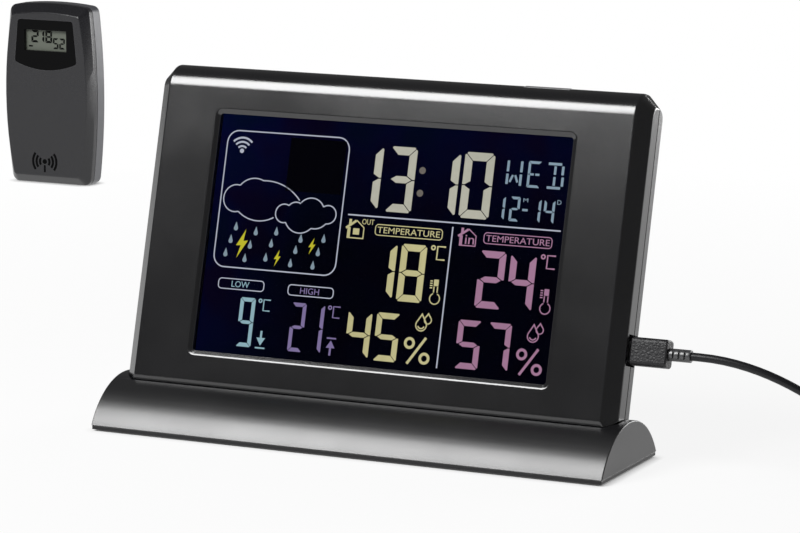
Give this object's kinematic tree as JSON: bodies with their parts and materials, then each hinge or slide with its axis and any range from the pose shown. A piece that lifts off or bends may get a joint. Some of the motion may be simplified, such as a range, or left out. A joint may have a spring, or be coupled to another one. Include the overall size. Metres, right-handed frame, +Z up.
{
  "type": "home weather station",
  "caption": "Leaning tabletop weather display on a domed base, with a plug-in power lead and a free-standing battery-powered remote sensor.",
  "frame": {"origin": "middle of the base's underside, on the desk", "axes": "+X to the right across the display, +Y to the back, +Z up"},
  "size_m": [0.6487, 0.5314, 0.1321],
  "materials": {
    "front_shell": "fine-grained satin",
    "rear_shell": "fine-grained satin",
    "dome_shell": "fine-grained satin",
    "black_plastic": "matt",
    "mat_rubber": "matt",
    "steel": "plated",
    "clear_lens": "clear",
    "display_glass": "gloss",
    "guide": "clear",
    "white_plastic": "matt",
    "elastomer": "matt",
    "board": "satin",
    "brass_wire": "plain",
    "cell_case": "satin",
    "button_plastic": "satin",
    "key_plastic": "satin",
    "cable_jacket": "matt",
    "sensor_dark": "fine-grained satin",
    "sensor_light": "fine-grained satin",
    "sensor_pane": "gloss",
    "sensor_glass": "gloss"
  },
  "bodies": {
    "stand": {"base_shell": "dome_shell", "base_plate": "black_plastic", "base_mat": "mat_rubber", "base_screws": "steel"},
    "console": {"front_housing": "front_shell", "rear_housing": "rear_shell", "housing_screws": "steel", "display_lens": "clear_lens", "lens_gasket": "mat_rubber", "lcd_panel": "display_glass", "light_guide": "guide", "reflector_sheet": "guide", "backlight_leds": "guide", "lcd_frame": "white_plastic", "frame_screws": "steel", "contact_strip": "elastomer", "main_board": "board", "usb_board": "board", "board_screws": "steel", "controller_chip": "black_plastic", "radio_module": "steel", "antenna_wire": "brass_wire", "buzzer": "black_plastic", "climate_sensor": "white_plastic", "top_switch": "black_plastic", "key_switches": "black_plastic", "usb_socket": "steel", "battery_contacts": "steel", "battery_cells": "cell_case"},
    "battery_door": {"battery_door": "rear_shell"},
    "top_button": {"top_button": "button_plastic"},
    "key_mode": {"key_mode": "key_plastic"},
    "key_set": {"key_set": "key_plastic"},
    "key_up": {"key_up": "key_plastic"},
    "key_down": {"key_down": "key_plastic"},
    "key_channel": {"key_channel": "key_plastic"},
    "lead": {"plug_body": "cable_jacket", "plug_shell": "steel", "strain_relief": "cable_jacket", "lead_cable": "cable_jacket", "lead_coil": "cable_jacket", "coil_tie": "cable_jacket", "lead_tail": "cable_jacket", "far_plug_body": "cable_jacket", "far_plug_shell": "steel", "far_plug_insert": "white_plastic"},
    "sensor": {"sensor_front": "sensor_dark", "sensor_rear": "sensor_light", "sensor_window": "sensor_pane", "sensor_lcd": "sensor_glass", "sensor_strip": "elastomer", "sensor_board": "board", "sensor_probe": "white_plastic", "sensor_antenna": "brass_wire", "sensor_cells": "cell_case", "sensor_contacts": "steel", "sensor_screws": "steel"},
    "sensor_door": {"sensor_door": "sensor_light"}
  },
  "joints": [
    {"name": "console_lift", "type": "slide", "parent": "stand", "child": "console", "axis": [0, 0.2656, 0.9641], "range_m": [0, 0.03]},
    {"name": "battery_door_slide", "type": "slide", "parent": "console", "child": "battery_door", "axis": [0, 0.2656, 0.9641], "range_m": [0, 0.012]},
    {"name": "top_button_press", "type": "slide", "parent": "console", "child": "top_button", "axis": [0, -0.2656, -0.9641], "range_m": [0, 0.0005], "stiffness_N_per_m": 600, "springref_m": -0.0008},
    {"name": "key_mode_press", "type": "slide", "parent": "console", "child": "key_mode", "axis": [0, -0.9641, 0.2656], "range_m": [0, 0.0005], "stiffness_N_per_m": 600, "springref_m": -0.0008},
    {"name": "key_set_press", "type": "slide", "parent": "console", "child": "key_set", "axis": [0, -0.9641, 0.2656], "range_m": [0, 0.0005], "stiffness_N_per_m": 600, "springref_m": -0.0008},
    {"name": "key_up_press", "type": "slide", "parent": "console", "child": "key_up", "axis": [0, -0.9641, 0.2656], "range_m": [0, 0.0005], "stiffness_N_per_m": 600, "springref_m": -0.0008},
    {"name": "key_down_press", "type": "slide", "parent": "console", "child": "key_down", "axis": [0, -0.9641, 0.2656], "range_m": [0, 0.0005], "stiffness_N_per_m": 600, "springref_m": -0.0008},
    {"name": "key_channel_press", "type": "slide", "parent": "console", "child": "key_channel", "axis": [0, -0.9641, 0.2656], "range_m": [0, 0.0005], "stiffness_N_per_m": 600, "springref_m": -0.0008},
    {"name": "lead_unplug", "type": "slide", "parent": "console", "child": "lead", "axis": [1, 0, 0], "range_m": [0, 0.009]},
    {"name": "sensor_lift", "type": "slide", "parent": "stand", "child": "sensor", "axis": [0, 0, 1], "range_m": [0, 0.1]},
    {"name": "sensor_door_pull", "type": "slide", "parent": "sensor", "child": "sensor_door", "axis": [0, 1, 0], "range_m": [0, 0.012]}
  ]
}
